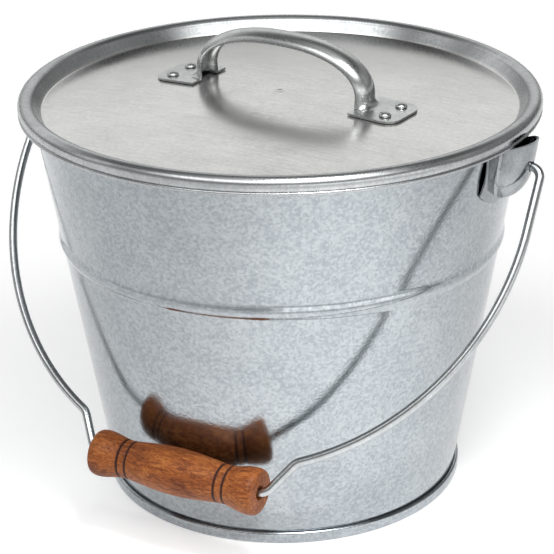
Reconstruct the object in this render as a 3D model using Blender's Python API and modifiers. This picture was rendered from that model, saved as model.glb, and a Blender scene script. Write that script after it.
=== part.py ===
"""Galvanised feed bucket with a lift-off lid, a wire bail and a turned wooden grip.

Metres, +Z up. The origin is on the bucket's axis, at the surface it stands on.
The ears lie along X, and the bail hangs towards -Y.
"""
import math

import bmesh
import bpy
from mathutils import Matrix, Vector

MM = 0.001

# Driving dimensions, in millimetres and degrees
SHEET = 0.8                  # gauge of the wall, the bottom and the lid
FIT_GAP = 0.3                # space between pieces that seat on each other
TURN_STEPS = 36              # facets round the bucket

WALL_FOOT_RADIUS = 103.6     # outside of the wall at its lower edge
WALL_FOOT_HEIGHT = 1.5       # lower edge of the wall, inside the chime
WALL_MOUTH_RADIUS = 141.9    # outside of the wall where the rim is rolled
RIM_HEIGHT = 233.6           # centre of the rolled rim
RIM_WIRE_RADIUS = 2.6
CURL_WRAP = 285.0            # how far the wall's edge wraps round the wire

SWAGE_DROP = 79.4            # middle of the stiffening bead below the rim's centre
SWAGE_WIDTH = 11.0
SWAGE_RISE = 1.6

SEAM_WIDTH = 9.0             # folded side seam, at the back
SEAM_RISE = 1.0
SEAM_ROOT = 0.6              # depth of the seam inside the wall's outer face
SEAM_LOW = 10.0
SEAM_DROP = 9.6              # top of the seam below the rim's centre

CHIME_STAND = 3.1            # seamed foot ring outside the wall's lower edge
CHIME_HEIGHT = 6.8
CHIME_FLOOR = 1.2            # inside of the ring's fold
CHIME_ROUND = 1.5            # rounding of the ring's outer edges
BOTTOM_HEIGHT = 7.0          # inside face of the bottom
BOTTOM_FILLET = 2.0
BOTTOM_EDGE = 0.5            # broken edge round the inside face

LIP_CLEARANCE = 0.35         # lid lip over the rolled rim
LIP_INNER_ANGLE = 155.0
LIP_OUTER_ANGLE = -10.0
PANEL_INSET = 5.7            # edge of the lid's panel inside the bucket's mouth
PANEL_DROP = 4.0             # panel edge below the rim's centre
PANEL_CROWN = 6.4
PANEL_CORNER = 2.0           # bend between the panel and its rising wall
PANEL_CORNER_LIFT = 0.5

HANDLE_TURN = -4.4           # lid handle against the ear axis
HANDLE_SHIFT = (2.25, 1.2)   # middle of the handle from the lid's centre
HANDLE_SHEET = 1.2
HANDLE_FOOT_TIP = 81.0
HANDLE_FOOT_HALF = 17.5
HANDLE_FOOT_ROUND = 9.0      # rounding of the foot's outer corners
HANDLE_LEG = 57.0            # arch half span at its base
HANDLE_RISE = 33.4
HANDLE_HALF_WIDTH = 8.0
HANDLE_DEPTH = 5.0
HANDLE_EDGE = 0.5            # turned edge along each side of the channel
HANDLE_FILLET = 5.0
HANDLE_HEEL = 2.5            # bend from the foot's inner end up into the channel
HANDLE_HEEL_STEP = 0.1
HANDLE_SQUARENESS = 2.4      # 2 is an ellipse, more is a squarer arch
RIVET_REACH = 71.5           # rivets from the handle's middle, along it
RIVET_SPREAD = 9.0           # rivets from the handle's centre line
RIVET_SHANK = 2.0
RIVET_HEAD = 3.5
RIVET_DOME = 2.2
RIVET_TAIL = 3.0
RIVET_TAIL_FACE = 2.4
RIVET_TAIL_HEIGHT = 1.2
RIVET_HOLE_LENGTH = 12.0

EAR_SHEET = 1.0
EAR_HALF_WIDTH = 25.0
EAR_TOP = 8.0                # top edge of the flange below the rim's centre
EAR_CORNER_DROP = 30.5       # lower corners of the flange below the rim's centre
EAR_TIP_DROP = 41.5          # lowest point of the flange below the rim's centre
EAR_STANDOFF = 1.4           # sides of the flange stand off the wall at mid height
POCKET_HALF_WIDTH = 10.8     # inside of the pressed pocket
POCKET_DEPTH = 14.7
POCKET_SQUARENESS = 2.8      # 2 is an ellipse seen from above, more is a blunter nose
POCKET_BEND = 2.5            # bend from the flange out into the pocket
POCKET_LIP_RISE = 4.5        # outer lip of the pocket above the flange
POCKET_FLOOR_DROP = 37.8     # inside of the pocket's closed end below the rim's centre
POCKET_FLOOR_POWER = 2.4     # 2 closes the pocket in an ellipse, more is squarer
POCKET_FLOOR_ROUND = 0.45
POCKET_FLOOR_HALF = 1.6      # half width left at the closed end

HINGE_DROP = 18.5            # bail hinge axis below the rim's centre
HINGE_CLEARANCE = 0.5        # wire in the ear's hole
HINGE_HOLE_LENGTH = 8.0

BAIL_WIRE_RADIUS = 2.5
BAIL_EAR_SPACE = 7.2         # bail leg's axis outside the ear
BAIL_REACH = 207.7           # hinge axis to the grip's axis
LEG_SPLAY = 1.0              # leg leans outwards over its straight run
KINK_RUN = 4.0
KINK_DROP = 22.5             # end of the arc to the grip's axis
KINK_SPACE = 3.0             # end of the grip to the lower end of the kink
KINK_SPREAD = 16.5           # lower to upper end of the kink, along the grip
KINK_BEND = 9.0
LEG_BEND = 7.0
HOOK_BEND = 4.0
HOOK_LENGTH = 8.0
HOOK_WALL_SPACE = 2.0        # hook inside the pocket to the bucket's wall
BEND_STEP = 15.0             # degrees of a wire bend between two points

GRIP_HALF_LENGTH = 52.5
GRIP_BARREL_RADIUS = 13.5
GRIP_NECK_RADIUS = 10.9
GRIP_END_RADIUS = 13.4
GRIP_FACE_RADIUS = 11.6
GRIP_BORE_CLEARANCE = 0.9    # wire in the grip's bore
GRIP_END_CROWN = 4.5         # thickest place of the flared end, from its face
GRIP_END_POWER = 2.4         # 2 rounds the end in an ellipse, more is squarer
GRIP_SWELL_POWER = 1.3       # more draws the barrel in sooner
GRIP_GROOVES = (18.5, 23.8)  # from each end
GRIP_GROOVE_HALF = 0.7
GRIP_GROOVE_DEPTH = 0.8

# Sizes worked out from the driving dimensions
WALL_SLOPE = (WALL_MOUTH_RADIUS - WALL_FOOT_RADIUS) / (RIM_HEIGHT - WALL_FOOT_HEIGHT)
WALL_LEAN = math.atan(WALL_SLOPE)
CURL_RADIUS = RIM_WIRE_RADIUS + FIT_GAP + SHEET / 2
CURL_CENTRE = WALL_MOUTH_RADIUS - SHEET / 2 + CURL_RADIUS
LIP_RADIUS = CURL_RADIUS + SHEET / 2 + LIP_CLEARANCE + SHEET / 2
HINGE_HEIGHT = RIM_HEIGHT - HINGE_DROP
SWAGE_HEIGHT = RIM_HEIGHT - SWAGE_DROP
SEAM_HIGH = RIM_HEIGHT - SEAM_DROP
CHIME_RADIUS = WALL_FOOT_RADIUS + CHIME_STAND
PANEL_RADIUS = WALL_MOUTH_RADIUS - PANEL_INSET
EAR_REACH = WALL_MOUTH_RADIUS - HINGE_DROP * WALL_SLOPE + FIT_GAP + POCKET_DEPTH + EAR_SHEET
BAIL_HALF_SPAN = EAR_REACH + BAIL_EAR_SPACE
HINGE_HOLE_RADIUS = BAIL_WIRE_RADIUS + HINGE_CLEARANCE
GRIP_BORE_RADIUS = BAIL_WIRE_RADIUS + GRIP_BORE_CLEARANCE
KINK_END = GRIP_HALF_LENGTH + KINK_SPACE
BAIL_SHOULDER = KINK_END + KINK_SPREAD
BAIL_LEG = BAIL_REACH - KINK_DROP - math.sqrt(BAIL_HALF_SPAN ** 2 - BAIL_SHOULDER ** 2)
HANDLE_PLACE = (
    Matrix.Translation(Vector((*HANDLE_SHIFT, 0.0)) * MM)
    @ Matrix.Rotation(math.radians(HANDLE_TURN), 4, "Z")
)

for old in list(bpy.data.objects):
    bpy.data.objects.remove(old, do_unlink=True)

PARTS = bpy.data.collections.new("feed_bucket")
CUTTERS = bpy.data.collections.new("cutters")
bpy.context.scene.collection.children.link(PARTS)
bpy.context.scene.collection.children.link(CUTTERS)


def wall_radius(height):
    """Outside radius of the plain wall at a height."""
    return WALL_FOOT_RADIUS + (height - WALL_FOOT_HEIGHT) * WALL_SLOPE


def smooth_step(value):
    """Ease from 0 to 1."""
    clamped = min(max(value, 0.0), 1.0)
    return clamped * clamped * (3.0 - 2.0 * clamped)


def make_material(name, colour, metallic, roughness):
    """Principled material with a plain finish."""
    material = bpy.data.materials.new(name)
    material.use_nodes = True
    shader = material.node_tree.nodes["Principled BSDF"]
    shader.inputs["Base Color"].default_value = (*colour, 1.0)
    shader.inputs["Metallic"].default_value = metallic
    shader.inputs["Roughness"].default_value = roughness
    return material


GALVANISED = make_material("galvanised_steel", (0.62, 0.65, 0.67), 0.9, 0.38)
LID_STEEL = make_material("lid_steel", (0.66, 0.66, 0.64), 0.9, 0.32)
BRIGHT_STEEL = make_material("bright_steel", (0.60, 0.61, 0.61), 1.0, 0.25)
WIRE_STEEL = make_material("wire_steel", (0.52, 0.54, 0.54), 1.0, 0.28)
TURNED_WOOD = make_material("turned_wood", (0.34, 0.12, 0.045), 0.0, 0.5)


def add_object(name, data, material, collection=PARTS):
    """Object in its collection, with its own material."""
    piece = bpy.data.objects.new(name, data)
    if material:
        data.materials.append(material)
    collection.objects.link(piece)
    return piece


def add_frame(name, parent=None):
    """Empty that carries the pieces of one moving or turned group."""
    frame = bpy.data.objects.new(name, None)
    frame.parent = parent
    PARTS.objects.link(frame)
    return frame


def arc_points(centre, radius, start, end, count):
    """Points on an arc in the (radius, height) plane, angles in degrees."""
    points = []
    for index in range(count + 1):
        angle = math.radians(start + (end - start) * index / count)
        points.append((centre[0] + radius * math.cos(angle), centre[1] + radius * math.sin(angle)))
    return points


def offset_path(path, distance):
    """Path moved sideways by a distance, to the left of its direction."""
    moved = []
    for index, point in enumerate(path):
        before = Vector(path[max(index - 1, 0)])
        here = Vector(point)
        after = Vector(path[min(index + 1, len(path) - 1)])
        first = (here - before).normalized() if index > 0 else (after - here).normalized()
        second = (after - here).normalized() if index < len(path) - 1 else first
        normal = Vector((-(first + second).y, (first + second).x)).normalized()
        spread = normal.dot(Vector((-first.y, first.x)))
        moved.append(tuple(here + normal * distance / max(spread, 0.5)))
    return moved


def sheet_section(path, thickness):
    """Closed outline of a sheet that follows a path, half its gauge on each side."""
    return offset_path(path, thickness / 2) + offset_path(path, -thickness / 2)[::-1]


def shoelace(points):
    """Signed area of an outline."""
    total = 0.0
    for index, point in enumerate(points):
        following = points[(index + 1) % len(points)]
        total += point[0] * following[1] - following[0] * point[1]
    return total / 2


def turned(name, section, material, closed=True, steps=TURN_STEPS, collection=PARTS, axis="Z"):
    """Piece turned round an axis from a section of (radius, height) points in millimetres."""
    points = list(section)
    if closed and shoelace(points) > 0:
        points.reverse()
    mesh = bpy.data.meshes.new(name)
    places = [(radius * MM, 0.0, height * MM) for radius, height in points]
    edges = [(index, index + 1) for index in range(len(points) - 1)]
    if closed:
        edges.append((len(points) - 1, 0))
    mesh.from_pydata(places, edges, [])
    piece = add_object(name, mesh, material, collection)
    screw = piece.modifiers.new("turn", "SCREW")
    screw.axis = axis
    screw.steps = steps
    screw.render_steps = steps
    screw.use_merge_vertices = True
    screw.merge_threshold = 0.00001
    screw.use_smooth_shade = True
    return piece


def cut(piece, cutter, operation="DIFFERENCE"):
    """Boolean with a cutter that stays out of the finished object."""
    cutter.hide_render = True
    cutter.display_type = "WIRE"
    boolean = piece.modifiers.new(cutter.name, "BOOLEAN")
    boolean.operation = operation
    boolean.object = cutter


def round_cutter(name, radius, length, place, sides=20):
    """Cylinder along the local Z of a place, in millimetres."""
    shape = bmesh.new()
    bmesh.ops.create_cone(
        shape, cap_ends=True, segments=sides,
        radius1=radius * MM, radius2=radius * MM, depth=length * MM,
    )
    mesh = bpy.data.meshes.new(name)
    shape.to_mesh(mesh)
    shape.free()
    cutter = add_object(name, mesh, None, CUTTERS)
    cutter.matrix_world = place
    return cutter


def grid_sheet(name, rows, thickness, material):
    """Sheet over a grid of points in millimetres, thickened on the side its faces point to."""
    shape = bmesh.new()
    grid = [[shape.verts.new(Vector(point) * MM) for point in row] for row in rows]
    for low, high in zip(grid, grid[1:]):
        for index in range(len(low) - 1):
            shape.faces.new((low[index], low[index + 1], high[index + 1], high[index]))
    mesh = bpy.data.meshes.new(name)
    shape.to_mesh(mesh)
    shape.free()
    mesh.shade_smooth()
    piece = add_object(name, mesh, material)
    solidify = piece.modifiers.new("gauge", "SOLIDIFY")
    solidify.thickness = thickness * MM
    solidify.offset = 1.0
    solidify.use_even_offset = True
    return piece


def make_wall():
    """Tapered wall with a swaged bead, a rolled rim and a folded side seam."""
    path = [(WALL_FOOT_RADIUS - SHEET / 2, WALL_FOOT_HEIGHT)]
    ridge_steps = 6
    for index in range(ridge_steps + 1):
        share = index / ridge_steps
        height = SWAGE_HEIGHT + (share - 0.5) * SWAGE_WIDTH
        rise = SWAGE_RISE * math.sin(math.pi * share) ** 2
        path.append((wall_radius(height) - SHEET / 2 + rise, height))
    path += arc_points((CURL_CENTRE, RIM_HEIGHT), CURL_RADIUS, 180, 180 - CURL_WRAP, 10)
    wall = turned("body_wall", sheet_section(path, SHEET), GALVANISED)

    shape = bmesh.new()
    bmesh.ops.create_cube(shape, size=1.0)
    rail = bpy.data.meshes.new("side_seam")
    length = (SEAM_HIGH - SEAM_LOW) / math.cos(WALL_LEAN)
    depth = SEAM_RISE + SEAM_ROOT
    bmesh.ops.scale(shape, vec=(SEAM_WIDTH * MM, depth * MM, length * MM), verts=shape.verts)
    shape.to_mesh(rail)
    shape.free()
    seam = add_object("side_seam", rail, None, CUTTERS)
    middle = (SEAM_LOW + SEAM_HIGH) / 2
    seam.location = (0.0, (wall_radius(middle) + SEAM_RISE - depth / 2) * MM, middle * MM)
    seam.rotation_euler.x = -WALL_LEAN
    cut(wall, seam, "UNION")
    return wall


def make_rim_wire():
    """Wire ring inside the rolled rim."""
    ring = arc_points((CURL_CENTRE, RIM_HEIGHT), RIM_WIRE_RADIUS, 0, 315, 7)
    return turned("rim_wire", ring, WIRE_STEEL)


def make_bottom():
    """Bottom pan whose edge is seamed round the wall's lower edge."""
    def inner(height):
        return wall_radius(height) - SHEET / math.cos(WALL_LEAN) - FIT_GAP

    def outer(height):
        return wall_radius(height) + FIT_GAP

    edge = CHIME_RADIUS - CHIME_ROUND
    section = [
        (0.0, BOTTOM_HEIGHT),
        (inner(BOTTOM_HEIGHT) - BOTTOM_EDGE, BOTTOM_HEIGHT),
        (inner(BOTTOM_HEIGHT - BOTTOM_EDGE), BOTTOM_HEIGHT - BOTTOM_EDGE),
        (inner(CHIME_FLOOR), CHIME_FLOOR),
        (outer(CHIME_FLOOR), CHIME_FLOOR),
        (outer(CHIME_HEIGHT), CHIME_HEIGHT),
    ]
    section += arc_points((edge, CHIME_HEIGHT - CHIME_ROUND), CHIME_ROUND, 90, 0, 3)
    section += arc_points((edge, CHIME_ROUND), CHIME_ROUND, 0, -90, 3)
    section.append((inner(CHIME_FLOOR) - SHEET, 0.0))
    fillet_centre = (inner(BOTTOM_HEIGHT) - SHEET - BOTTOM_FILLET, BOTTOM_HEIGHT - SHEET - BOTTOM_FILLET)
    section += arc_points(fillet_centre, BOTTOM_FILLET, 0, 90, 4)
    section.append((0.0, BOTTOM_HEIGHT - SHEET))
    return turned("bottom_pan", section, GALVANISED, closed=False)


def panel_height(radius):
    """Top face of the lid's crowned panel."""
    return RIM_HEIGHT - PANEL_DROP + PANEL_CROWN * (1.0 - (radius / PANEL_RADIUS) ** 2)


def make_lid():
    """Recessed lid whose lip rolls over the bucket's rim."""
    crown_steps = 6
    path = []
    for index in range(crown_steps + 1):
        radius = (PANEL_RADIUS - PANEL_CORNER) * index / crown_steps
        path.append((radius, panel_height(radius)))
    path.append((PANEL_RADIUS + PANEL_CORNER_LIFT, panel_height(PANEL_RADIUS) + PANEL_CORNER_LIFT))
    centre = (CURL_CENTRE, RIM_HEIGHT)
    path += arc_points(centre, LIP_RADIUS + SHEET / 2, LIP_INNER_ANGLE, LIP_OUTER_ANGLE, 8)
    below = offset_path(path, -SHEET)
    below[0] = (0.0, below[0][1])
    return turned("lid", path + below[::-1], LID_STEEL, closed=False)


def seat_height(reach, across):
    """Top of the lid's panel under a point of the handle's own frame."""
    spot = HANDLE_PLACE @ Vector((reach * MM, across * MM, 0.0))
    return panel_height(math.hypot(spot.x, spot.y) / MM)


def handle_rows():
    """Rows of half a lid handle: crest (reach, height), edge (reach, height), edge half width."""
    rows = []
    foot_steps = 6
    fillet_start = HANDLE_LEG + HANDLE_FILLET
    foot_end = HANDLE_LEG - HANDLE_DEPTH
    narrow = HANDLE_HALF_WIDTH + HANDLE_EDGE
    for index in range(foot_steps):
        inward = 1.0 - math.cos(math.pi / 2 * index / foot_steps)
        reach = HANDLE_FOOT_TIP + (fillet_start - HANDLE_FOOT_TIP) * inward
        into_tip = max(reach - (HANDLE_FOOT_TIP - HANDLE_FOOT_ROUND), 0.0) / HANDLE_FOOT_ROUND
        half = HANDLE_FOOT_HALF - HANDLE_FOOT_ROUND * (1.0 - math.sqrt(max(1.0 - into_tip ** 2, 0.0)))
        rows.append(((reach, 0.0), (reach, 0.0), half))
    fillet = arc_points((fillet_start, HANDLE_FILLET), HANDLE_FILLET, 270, 180, 4)
    for index, crest in enumerate(fillet):
        share = index / (len(fillet) - 1)
        rows.append((crest, (fillet_start + (foot_end - fillet_start) * share, 0.0), HANDLE_FOOT_HALF))
    for index, (aside, up) in enumerate(arc_points((0.0, 0.0), HANDLE_HEEL, 90, 0, 3)):
        step = HANDLE_HEEL_STEP * (index + 1)
        edge = (foot_end - step, HANDLE_HEEL - up)
        rows.append(((HANDLE_LEG, HANDLE_FILLET + step), edge, narrow + HANDLE_HEEL - aside))
    arch_steps = 11
    power = 2.0 / HANDLE_SQUARENESS
    for index in range(1, arch_steps):
        angle = math.pi / 2 * index / arch_steps
        reach = HANDLE_LEG * math.cos(angle) ** power
        height = HANDLE_FILLET + (HANDLE_RISE - HANDLE_FILLET) * math.sin(angle) ** power
        slant = math.atan2(
            (HANDLE_RISE - HANDLE_FILLET) * math.cos(angle) ** (2.0 - power),
            HANDLE_LEG * math.sin(angle) ** (2.0 - power),
        )
        edge = (reach - HANDLE_DEPTH * math.sin(slant), height - HANDLE_DEPTH * math.cos(slant))
        rows.append(((reach, height), edge, narrow))
    rows.append(((0.0, HANDLE_RISE), (0.0, HANDLE_RISE - HANDLE_DEPTH), narrow))
    return rows


def make_handle(frame):
    """Pressed lid handle: a half-round channel that opens into two flat feet."""
    half = handle_rows()
    flipped = [((-crest[0], crest[1]), (-edge[0], edge[1]), wide) for crest, edge, wide in half[-2::-1]]
    channel_steps = 6
    wing_steps = 2
    rows = []
    for crest, edge, wide in half + flipped:
        section = []
        for step in range(channel_steps + 1):
            angle = math.pi * (step / channel_steps - 0.5)
            fall = 1.0 - math.cos(angle)
            spot = Vector(crest).lerp(Vector(edge), fall)
            section.append((spot.x, HANDLE_HALF_WIDTH * math.sin(angle), spot.y))
        for step in range(1, wing_steps + 1):
            across = HANDLE_HALF_WIDTH + (wide - HANDLE_HALF_WIDTH) * step / wing_steps
            section.insert(0, (edge[0], -across, edge[1]))
            section.append((edge[0], across, edge[1]))
        row = []
        for reach, across, lift in section:
            row.append((reach, across, seat_height(reach, across) + FIT_GAP + lift))
        rows.append(row)
    handle = grid_sheet("lid_handle", rows, HANDLE_SHEET, BRIGHT_STEEL)
    handle.parent = frame
    return handle


def rivet_place(reach, spread):
    """Axis of a lid rivet, square to the crowned panel, with Z upwards."""
    spot = HANDLE_PLACE @ Vector((reach * MM, spread * MM, 0.0))
    spot.z = seat_height(reach, spread) * MM
    slope = 2.0 * PANEL_CROWN / PANEL_RADIUS ** 2 / MM
    normal = Vector((slope * spot.x, slope * spot.y, 1.0))
    turn = Vector((0.0, 0.0, 1.0)).rotation_difference(normal).to_matrix().to_4x4()
    return Matrix.Translation(spot) @ turn


def make_rivets(frame, lid, handle):
    """Dome rivets through the handle's feet and the lid."""
    seat = FIT_GAP + HANDLE_SHEET + FIT_GAP
    under = -SHEET - FIT_GAP
    section = [(0.0, seat + RIVET_DOME)]
    for index in range(1, 5):
        angle = math.pi / 2 * index / 4
        section.append((RIVET_HEAD * math.sin(angle), seat + RIVET_DOME * math.cos(angle)))
    section += [
        (RIVET_SHANK, seat),
        (RIVET_SHANK, under),
        (RIVET_TAIL, under),
        (RIVET_TAIL_FACE, under - RIVET_TAIL_HEIGHT),
        (0.0, under - RIVET_TAIL_HEIGHT),
    ]
    names = ("left_front", "left_rear", "right_front", "right_rear")
    spots = [(side * RIVET_REACH, spread * RIVET_SPREAD) for side in (-1, 1) for spread in (-1, 1)]
    for name, (reach, spread) in zip(names, spots):
        place = rivet_place(reach, spread)
        rivet = turned("lid_rivet_" + name, section, BRIGHT_STEEL, closed=False, steps=10)
        rivet.parent = frame
        rivet.matrix_local = HANDLE_PLACE.inverted() @ place
        hole = round_cutter("rivet_hole_" + name, RIVET_SHANK + FIT_GAP, RIVET_HOLE_LENGTH, place)
        cut(handle, hole)
        cut(lid, hole)


def ear_plan(half, depth):
    """Ear seen from above at one level, as (across, out) points from edge to edge."""
    flange_columns = 2
    bend_columns = 2
    nose_columns = 5
    power = 2.0 / POCKET_SQUARENESS
    root = half + POCKET_BEND
    bend = min(POCKET_BEND, depth / 2)
    plan = []
    for step in range(flange_columns):
        plan.append((-EAR_HALF_WIDTH + (EAR_HALF_WIDTH - root) * step / flange_columns, 0.0))
    for step in range(bend_columns + 1):
        angle = math.pi / 2 * step / bend_columns
        plan.append((-root + POCKET_BEND * math.sin(angle), bend * (1.0 - math.cos(angle))))
    for step in range(1, nose_columns):
        angle = math.pi / 2 * step / nose_columns
        plan.append((-half * math.cos(angle) ** power, bend + (depth - bend) * math.sin(angle) ** power))
    return plan + [(0.0, depth)] + [(-across, out) for across, out in plan[::-1]]


def make_ear(name, side):
    """Pressed ear: a flange on the wall round an open-topped pocket for the bail's end."""
    top = RIM_HEIGHT - EAR_TOP
    tip = RIM_HEIGHT - EAR_TIP_DROP
    floor = RIM_HEIGHT - POCKET_FLOOR_DROP
    upper_rows = 2
    pocket_rows = 8
    levels = [top + (HINGE_HEIGHT - top) * index / upper_rows for index in range(upper_rows)]
    for index in range(pocket_rows + 1):
        levels.append(HINGE_HEIGHT - (HINGE_HEIGHT - floor) * math.sin(math.pi / 2 * index / pocket_rows))
    levels.append(tip)
    rows = []
    for level in levels:
        share = (top - level) / (top - tip)
        below = min(max(HINGE_HEIGHT - level, 0.0) / (HINGE_HEIGHT - floor), 1.0)
        fullness = (1.0 - below ** POCKET_FLOOR_POWER) ** POCKET_FLOOR_ROUND
        half = POCKET_FLOOR_HALF + (POCKET_HALF_WIDTH - POCKET_FLOOR_HALF) * fullness
        row = []
        for across, out in ear_plan(half, POCKET_DEPTH * fullness):
            edge = abs(across) / EAR_HALF_WIDTH
            lowest = tip + (EAR_TIP_DROP - EAR_CORNER_DROP) * edge ** 2
            lip_rise = POCKET_LIP_RISE * smooth_step(out / POCKET_DEPTH) * (1.0 - share) ** 3
            height = top + (lowest - top) * share + lip_rise
            stand = EAR_STANDOFF * smooth_step(2.0 * edge - 1.0) * math.sin(math.pi * share)
            wall = math.sqrt(wall_radius(height) ** 2 - across ** 2)
            row.append((side * (wall + FIT_GAP + stand + out), side * across, height))
        rows.append(row)
    ear = grid_sheet(name, rows[::-1], EAR_SHEET, GALVANISED)
    face = wall_radius(HINGE_HEIGHT) + FIT_GAP + POCKET_DEPTH
    place = Matrix.Translation(Vector((side * face, 0.0, HINGE_HEIGHT)) * MM)
    aim = Matrix.Rotation(math.pi / 2, 4, "Y")
    hole = round_cutter(name + "_hole", HINGE_HOLE_RADIUS, HINGE_HOLE_LENGTH, place @ aim)
    cut(ear, hole)
    return ear


def rounded_route(corners):
    """Route through (across, drop, bend radius) corners, with each bend as an arc."""
    points = [Vector(corners[0][:2])]
    for before, corner, after in zip(corners, corners[1:], corners[2:]):
        spot = Vector(corner[:2])
        first = (spot - Vector(before[:2])).normalized()
        second = (Vector(after[:2]) - spot).normalized()
        turn = first.angle_signed(second)
        if abs(turn) < 0.001 or corner[2] == 0:
            points.append(spot)
            continue
        start = spot - first * corner[2] * math.tan(abs(turn) / 2)
        sign = -math.copysign(1.0, turn)
        centre = start + Vector((-first.y, first.x)) * corner[2] * sign
        steps = max(2, int(abs(math.degrees(turn)) / BEND_STEP))
        for index in range(steps + 1):
            spin = Matrix.Rotation(sign * abs(turn) * index / steps, 2)
            points.append(centre + spin @ (start - centre))
    points.append(Vector(corners[-1][:2]))
    return points


def bail_half_route():
    """One half of the bail in its own plane, from the hooked end to the middle."""
    hook = wall_radius(HINGE_HEIGHT) + HOOK_WALL_SPACE + BAIL_WIRE_RADIUS
    corners = [
        (hook, HOOK_LENGTH, 0),
        (hook, 0.0, HOOK_BEND),
        (BAIL_HALF_SPAN - LEG_SPLAY, 0.0, LEG_BEND),
    ]
    shoulder = math.degrees(math.acos(BAIL_SHOULDER / BAIL_HALF_SPAN))
    arc = arc_points((0.0, BAIL_LEG), BAIL_HALF_SPAN, 0, shoulder, 16)
    corners += [(across, drop, 0) for across, drop in arc]
    lean = math.radians(shoulder)
    kink = (arc[-1][0] - KINK_RUN * math.sin(lean), arc[-1][1] + KINK_RUN * math.cos(lean))
    corners += [(*kink, KINK_BEND), (KINK_END, BAIL_REACH, KINK_BEND), (0.0, BAIL_REACH, 0)]
    return rounded_route(corners)


def bail_rest_angle():
    """Swing from straight down at which the grip comes to rest on the wall."""
    low, high = 0.0, math.pi / 2
    for _ in range(60):
        angle = (low + high) / 2
        height = HINGE_HEIGHT - BAIL_REACH * math.cos(angle)
        space = (BAIL_REACH * math.sin(angle) - wall_radius(height)) * math.cos(WALL_LEAN)
        if space < GRIP_BARREL_RADIUS + FIT_GAP:
            low = angle
        else:
            high = angle
    return high


def make_bail():
    """Wire bail with hooked ends, on the hinge axis through both ears."""
    half = bail_half_route()
    route = half + [Vector((-point.x, point.y)) for point in half[-2::-1]]
    curve = bpy.data.curves.new("bail_wire", "CURVE")
    curve.dimensions = "3D"
    curve.bevel_depth = BAIL_WIRE_RADIUS * MM
    curve.bevel_resolution = 2
    curve.use_fill_caps = True
    spline = curve.splines.new("POLY")
    spline.points.add(len(route) - 1)
    for spot, point in zip(spline.points, route):
        spot.co = (point.x * MM, 0.0, -point.y * MM, 1.0)
    bail = add_object("bail_wire", curve, WIRE_STEEL)
    bail.location = (0.0, 0.0, HINGE_HEIGHT * MM)
    bail.rotation_euler.x = -bail_rest_angle()
    return bail


def grip_radius(place):
    """Radius of the turned grip at a distance from its middle, without its grooves."""
    neck = GRIP_HALF_LENGTH - sum(GRIP_GROOVES) / 2
    crown = GRIP_HALF_LENGTH - GRIP_END_CROWN
    if place <= neck:
        swell = math.cos(math.pi / 2 * place / neck) ** GRIP_SWELL_POWER
        return GRIP_NECK_RADIUS + (GRIP_BARREL_RADIUS - GRIP_NECK_RADIUS) * swell
    if place <= crown:
        flare = smooth_step((place - neck) / (crown - neck))
        return GRIP_NECK_RADIUS + (GRIP_END_RADIUS - GRIP_NECK_RADIUS) * flare
    share = (place - crown) / GRIP_END_CROWN
    fullness = math.sqrt(max(1.0 - share ** GRIP_END_POWER, 0.0))
    return GRIP_FACE_RADIUS + (GRIP_END_RADIUS - GRIP_FACE_RADIUS) * fullness


def make_grip(bail):
    """Turned wooden grip that spins on the bail's straight middle."""
    grooves = sorted(GRIP_HALF_LENGTH - spot for spot in GRIP_GROOVES)
    barrel_steps = 4
    end_steps = 3
    places = [(grooves[0] - GRIP_GROOVE_HALF) * index / barrel_steps for index in range(barrel_steps)]
    for groove in grooves:
        places += [groove - GRIP_GROOVE_HALF, groove, groove + GRIP_GROOVE_HALF]
    flare = places[-1]
    crown = GRIP_HALF_LENGTH - GRIP_END_CROWN
    places += [flare + (crown - flare) * index / end_steps for index in range(1, end_steps + 1)]
    for index in range(1, end_steps + 1):
        places.append(crown + GRIP_END_CROWN * math.sin(math.pi / 2 * index / end_steps))
    half = []
    for place in places:
        depth = GRIP_GROOVE_DEPTH if place in grooves else 0.0
        half.append((grip_radius(place) - depth, place))
    outside = half[:0:-1] + [(radius, -place) for radius, place in half]
    section = outside + [(GRIP_BORE_RADIUS, -GRIP_HALF_LENGTH), (GRIP_BORE_RADIUS, GRIP_HALF_LENGTH)]
    grip = turned("grip", section, TURNED_WOOD, steps=20)
    grip.parent = bail
    grip.location = (0.0, 0.0, -BAIL_REACH * MM)
    grip.rotation_euler.y = math.pi / 2
    return grip


make_wall()
make_rim_wire()
make_bottom()
lid_frame = add_frame("lid_handle_frame")
lid_frame.matrix_world = HANDLE_PLACE
lid_piece = make_lid()
handle_piece = make_handle(lid_frame)
make_rivets(lid_frame, lid_piece, handle_piece)
make_ear("ear_right", 1)
make_ear("ear_left", -1)
bail_piece = make_bail()
make_grip(bail_piece)
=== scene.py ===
import math

import bmesh
import bpy
from mathutils import Matrix, Vector


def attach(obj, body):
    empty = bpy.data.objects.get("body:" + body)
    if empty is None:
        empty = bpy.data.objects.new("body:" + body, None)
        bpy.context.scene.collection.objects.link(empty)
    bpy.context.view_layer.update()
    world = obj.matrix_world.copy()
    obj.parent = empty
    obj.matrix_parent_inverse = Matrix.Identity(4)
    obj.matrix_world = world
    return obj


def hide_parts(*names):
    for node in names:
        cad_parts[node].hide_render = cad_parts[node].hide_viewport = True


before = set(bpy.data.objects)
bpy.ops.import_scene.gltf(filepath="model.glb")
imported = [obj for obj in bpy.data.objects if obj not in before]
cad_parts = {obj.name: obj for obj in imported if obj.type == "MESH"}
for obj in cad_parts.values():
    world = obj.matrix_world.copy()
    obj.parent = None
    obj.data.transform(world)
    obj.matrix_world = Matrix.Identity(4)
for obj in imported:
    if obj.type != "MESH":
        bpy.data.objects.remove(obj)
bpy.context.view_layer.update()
mm = 0.001
weldDistance = 0.000002  # points nearer than this are one

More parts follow.
